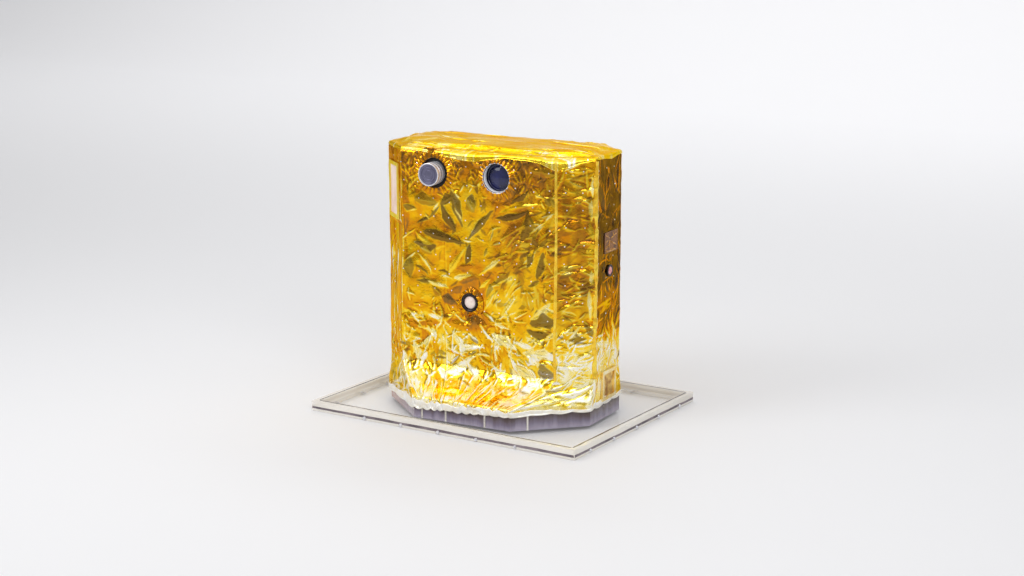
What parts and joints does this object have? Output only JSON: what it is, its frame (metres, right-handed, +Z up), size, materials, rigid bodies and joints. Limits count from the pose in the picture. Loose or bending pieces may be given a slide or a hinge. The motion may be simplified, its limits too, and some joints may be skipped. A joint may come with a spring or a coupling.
{
  "type": "foil-wrapped space probe on its display riser and tray",
  "caption": "Eight-sided probe body wrapped in crinkled gold film, with round ports, a window and small fittings, standing on a smoked riser in a low clear tray.",
  "frame": {"origin": "middle of the tray's underside", "axes": "+Z up, -Y out of the broad face with the round ports, +X to the right of that face; the tray is turned 4.5 degrees clockwise under the probe"},
  "size_m": [0.4714, 0.375, 0.392],
  "materials": {
    "clear_acrylic": "polished clear",
    "smoked_acrylic": "polished smoked",
    "polished_strip": "polished",
    "steel_screw": "polished",
    "core_alloy": "machined",
    "gold_film": "crinkled metallised film",
    "silver_film": "metallised film, silver side",
    "gold_tape": "film tape",
    "yellow_film": "smooth film tape",
    "amber_film": "crinkled film",
    "bright_alloy": "turned",
    "grey_anodised": "anodised",
    "black_anodised": "anodised",
    "dark_alloy": "anodised",
    "white_alloy": "satin",
    "lens_glass": "coated",
    "pale_diffuser": "moulded",
    "white_panel": "smooth",
    "pink_cap": "moulded"
  },
  "bodies": {
    "root": {"blanket_back": "gold_film", "blanket_back_left": "gold_film", "blanket_back_right": "gold_film", "blanket_front": "gold_film", "blanket_front_left": "gold_film", "blanket_front_right": "gold_film", "blanket_left": "gold_film", "blanket_right": "gold_film", "blanket_top": "gold_film", "body_core": "core_alloy", "button": "pink_cap", "button_ring": "dark_alloy", "centre_port_disc": "pale_diffuser", "centre_port_ring": "dark_alloy", "hatch_frame": "gold_tape", "hatch_plate": "amber_film", "hem_band": "silver_film", "left_port_barrel": "bright_alloy", "left_port_cap": "grey_anodised", "left_port_collar": "black_anodised", "right_port_lens": "lens_glass", "right_port_rim": "bright_alloy", "right_port_tube": "white_alloy", "riser": "smoked_acrylic", "riser_strips_back": "polished_strip", "riser_strips_back_left": "polished_strip", "riser_strips_front": "polished_strip", "riser_strips_front_right": "polished_strip", "seam_tapes": "gold_tape", "side_patch": "gold_tape", "tray_floor": "clear_acrylic", "tray_rail_back": "clear_acrylic", "tray_rail_front": "clear_acrylic", "tray_rail_left": "clear_acrylic", "tray_rail_right": "clear_acrylic", "tray_screws_back": "steel_screw", "tray_screws_front": "steel_screw", "tray_screws_left": "steel_screw", "tray_screws_right": "steel_screw", "window_frame": "yellow_film", "window_panel": "white_panel"}
  },
  "joints": []
}
